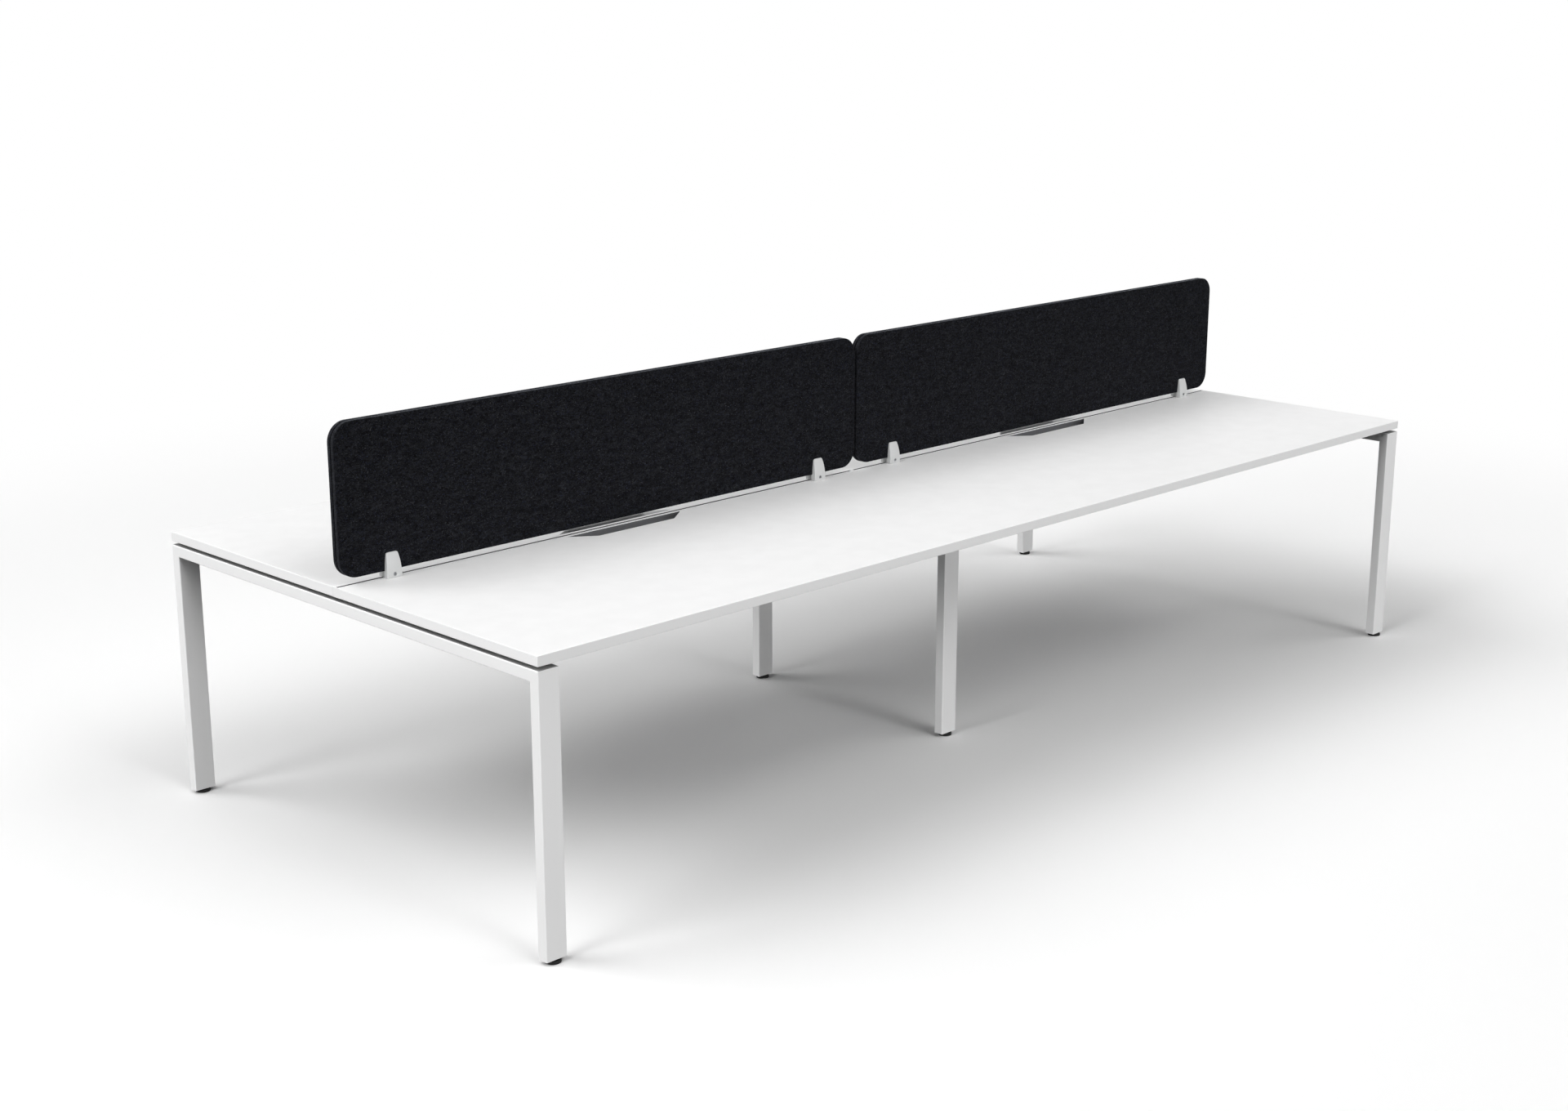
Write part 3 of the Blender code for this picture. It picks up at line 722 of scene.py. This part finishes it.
def thread(radius, low, high, steps=20):
    """Stem with a helical thread between two heights."""
    made = bmesh.new()
    root = radius - THREAD_DEPTH
    ridge = ((root, 0.0), (radius, 0.4 * PITCH), (radius, 0.6 * PITCH), (root, PITCH))
    verts = [made.verts.new((r, 0.0, low + z)) for r, z in ridge]
    edges = [made.edges.new(pair) for pair in zip(verts, verts[1:])]
    turns = int((high - low) / PITCH) - 1
    bmesh.ops.spin(
        made, geom=verts + edges, cent=(0, 0, 0), axis=(0, 0, 1), dvec=(0, 0, PITCH / steps),
        angle=2 * math.pi * turns, steps=steps * turns, use_merge=False)
    bmesh.ops.remove_doubles(made, verts=made.verts, dist=1e-6)
    bmesh.ops.holes_fill(made, edges=[edge for edge in made.edges if edge.is_boundary])
    bmesh.ops.recalc_face_normals(made, faces=made.faces)
    return made


for side in SIDES:
    for place in PLACES:
        node = f"levelling_foot_{side}_{place}"
        low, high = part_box(node)
        middle = (low + high) / 2
        radius = (high.x - low.x) / 2
        pad = lathe([
            (0.0, low.z), (radius - 1.2 * MM, low.z), (radius - 0.3 * MM, low.z + 0.4 * MM),
            (radius, low.z + 1.4 * MM), (radius, low.z + 5.6 * MM),
            (radius - 0.5 * MM, low.z + 6.8 * MM), (radius - 1.6 * MM, low.z + 7.4 * MM),
            (radius - 3.0 * MM, low.z + 7.6 * MM), (7.2 * MM, low.z + 7.9 * MM),
            (6.9 * MM, low.z + PAD_TOP), (0.0, low.z + PAD_TOP),
        ], 48)
        stem = bpy.data.meshes.new("stem")
        made = thread(STEM_RADIUS, low.z + THREAD_START, high.z)
        made.to_mesh(stem)
        made.free()
        pad.from_mesh(stem)
        bpy.data.meshes.remove(stem)
        bmesh.ops.translate(pad, vec=(middle.x, middle.y, 0), verts=pad.verts)
        piece = add_piece(f"{node}_pad_and_thread", pad, (black_nylon,), (node,))
        smooth_all(piece)
        node = f"foot_insert_{side}_{place}"
        plug = eased_copy(node, 0.5 * MM)
        add_piece(f"{node}_plug", plug, (black_nylon,), (node,))
print("feet:", len(SIDES) * len(PLACES), "from", round(low.z, 4), "to", round(high.z, 4))

# %% [markdown]
# ## Floor and world
# The desk stands on a plain white floor that is large enough to fill the view up to the horizon.
# A white floor throws so much light back up that the shade under the tops grows pale. So only the
# camera and reflections see it white, and for the light that bounces it is dark grey.

# %% Floor and world
# Metres from the middle of the floor to each of its sides.
FLOOR_REACH = 200.0


def seen_directly(tree):
    """1 for what the camera and reflections see, 0 for the light that bounces."""
    rays = add(tree, "LightPath").outputs
    either = {0: rays["Is Camera Ray"], 1: rays["Is Glossy Ray"]}
    return add(tree, "Math", either, operation="MAXIMUM").outputs[0]


made = bmesh.new()
bmesh.ops.create_grid(made, x_segments=1, y_segments=1, size=FLOOR_REACH)
mesh = bpy.data.meshes.new("floor")
made.to_mesh(mesh)
made.free()
floor = bpy.data.objects.new("floor", mesh)
bpy.context.scene.collection.objects.link(floor)

# Beyond the desk's own shadow the floor fades to the plain white of a lit backdrop. The two
# distances, in metres from the middle of the desk, are where the fading starts and ends.
BOUNCE_GREY, SEEN_WHITE = "#303030", "#FFFFFF"
SHADOW_REACH, BACKDROP_REACH = 2.6, 5.5

paper, tree, shader = new_finish("matt_white_studio_floor", BOUNCE_GREY, 0.9, Specular_IOR_Level=0.0)
seen = seen_directly(tree)
tint(tree, shader, blend_colours(tree, seen, BOUNCE_GREY, SEEN_WHITE))
place = add(tree, "TexCoord").outputs["Object"]
distance = add(tree, "VectorMath", {0: place}, operation="LENGTH").outputs["Value"]
ends = {"Value": distance, "From Min": SHADOW_REACH, "From Max": BACKDROP_REACH}
far = add(tree, "MapRange", ends, interpolation_type="SMOOTHSTEP").outputs["Result"]
amount = add(tree, "Math", {0: far, 1: seen}, operation="MULTIPLY")
backdrop = add(tree, "Emission", {"Color": linear(SEEN_WHITE), "Strength": 1.0})
output = tree.nodes["Material Output"]
shown = add(tree, "MixShader", {0: amount.outputs[0], 1: shader.outputs[0], 2: backdrop.outputs[0]})
tree.links.new(shown.outputs[0], output.inputs["Surface"])
mesh.materials.append(paper)

# The world is black for light that fills the room, since the lamps do that. What the camera and
# reflections see of it is the same white as the far floor.
world = bpy.data.worlds.new("white_studio")
bpy.context.scene.world = world
world.use_nodes = True
tree = world.node_tree
tree.nodes.clear()
white = add(tree, "Background", {"Color": linear(SEEN_WHITE), "Strength": seen_directly(tree)})
add(tree, "OutputWorld", {"Surface": white.outputs[0]})
print("floor and world ready")

# %% [markdown]
# ## Soft lamps
# A studio lights a white desk with large diffusers, so that no shadow has a hard edge. Most of the
# light here comes from the left and the front, from high up and along the floor, and a little from
# the right and from behind. A sun with a wide disc gives such light evenly over the whole desk,
# and it needs no guess of how far off the diffuser stood.

# %% Soft lamps
# Far softboxes are suns with a wide disc: name, azimuth, height and width of the disc in degrees,
# and the share of full white that each gives a surface facing it. A sun of pi watts per square
# metre gives all of it.
SUNS = (
    ("overhead_back", 90.0, 68.0, 35.0, 0.085),
    ("high_left", 135.0, 45.0, 35.0, 0.370),
    ("mid_left", 180.0, 40.0, 26.0, 0.230),
    ("high_front", 270.0, 45.0, 35.0, 0.215),
    ("high_right", 315.0, 45.0, 35.0, 0.200),
    ("low_left", 180.0, 8.0, 16.0, 0.400),
    ("low_front", 270.0, 8.0, 16.0, 0.365),
    ("low_right", 0.0, 8.0, 16.0, 0.100),
    ("low_back", 90.0, 8.0, 16.0, 0.100),
)
# A near softbox makes the light fade along the tops: name, place, size in metres and watts.
SOFTBOXES = (
    ("left_bank", (-3.0, -0.3, 4.0), 2.0, 30.0),
)
# A sun lights the desk alike from any distance. A near softbox points at the desk's middle.
SUN_DISTANCE = 10.0
DESK_MIDDLE = Vector((0.0, 0.0, 0.5))


def hang(light, place, aim):
    """Add a lamp at a place that shines against the aim direction."""
    lamp = bpy.data.objects.new(light.name, light)
    lamp.location = place
    lamp.rotation_euler = aim.to_track_quat("Z", "Y").to_euler()
    bpy.context.scene.collection.objects.link(lamp)


for name, azimuth, height, width, share in SUNS:
    turn, rise = math.radians(azimuth), math.radians(height)
    aim = Vector((math.cos(turn) * math.cos(rise), math.sin(turn) * math.cos(rise), math.sin(rise)))
    light = bpy.data.lights.new(f"softbox_{name}", "SUN")
    light.angle, light.energy = math.radians(width), math.pi * share
    hang(light, SUN_DISTANCE * aim, aim)

for name, place, size, power in SOFTBOXES:
    light = bpy.data.lights.new(f"softbox_{name}", "AREA")
    light.shape, light.size, light.energy = "SQUARE", size, power
    hang(light, place, Vector(place) - DESK_MIDDLE)
print("lamps:", len(SUNS) + len(SOFTBOXES))

# %% [markdown]
# ## Camera
# The photograph looks along the desk from its front left corner and down on its tops. The camera's
# place and turn were worked out from corners of the desk measured in the photograph, so the render
# can be laid over it. The view stays Standard, which shows a white finish as white.

# %% Camera
# Lens and sensor width in millimetres, place in metres, and tilt and turn in degrees.
LENS, SENSOR_WIDTH = 50.0, 36.0
CAMERA_PLACE = (-4.5847, -4.3004, 2.1521)
CAMERA_TILT, CAMERA_TURN = 75.0, -45.0

camera_data = bpy.data.cameras.new("camera")
camera_data.lens, camera_data.sensor_width = LENS, SENSOR_WIDTH
camera_data.clip_end = 3 * FLOOR_REACH
camera = bpy.data.objects.new("camera", camera_data)
camera.location = CAMERA_PLACE
camera.rotation_euler = (math.radians(CAMERA_TILT), 0.0, math.radians(CAMERA_TURN))
bpy.context.scene.collection.objects.link(camera)
bpy.context.scene.camera = camera
bpy.context.scene.view_settings.view_transform = "Standard"
print("camera at", tuple(round(value, 3) for value in camera.location))
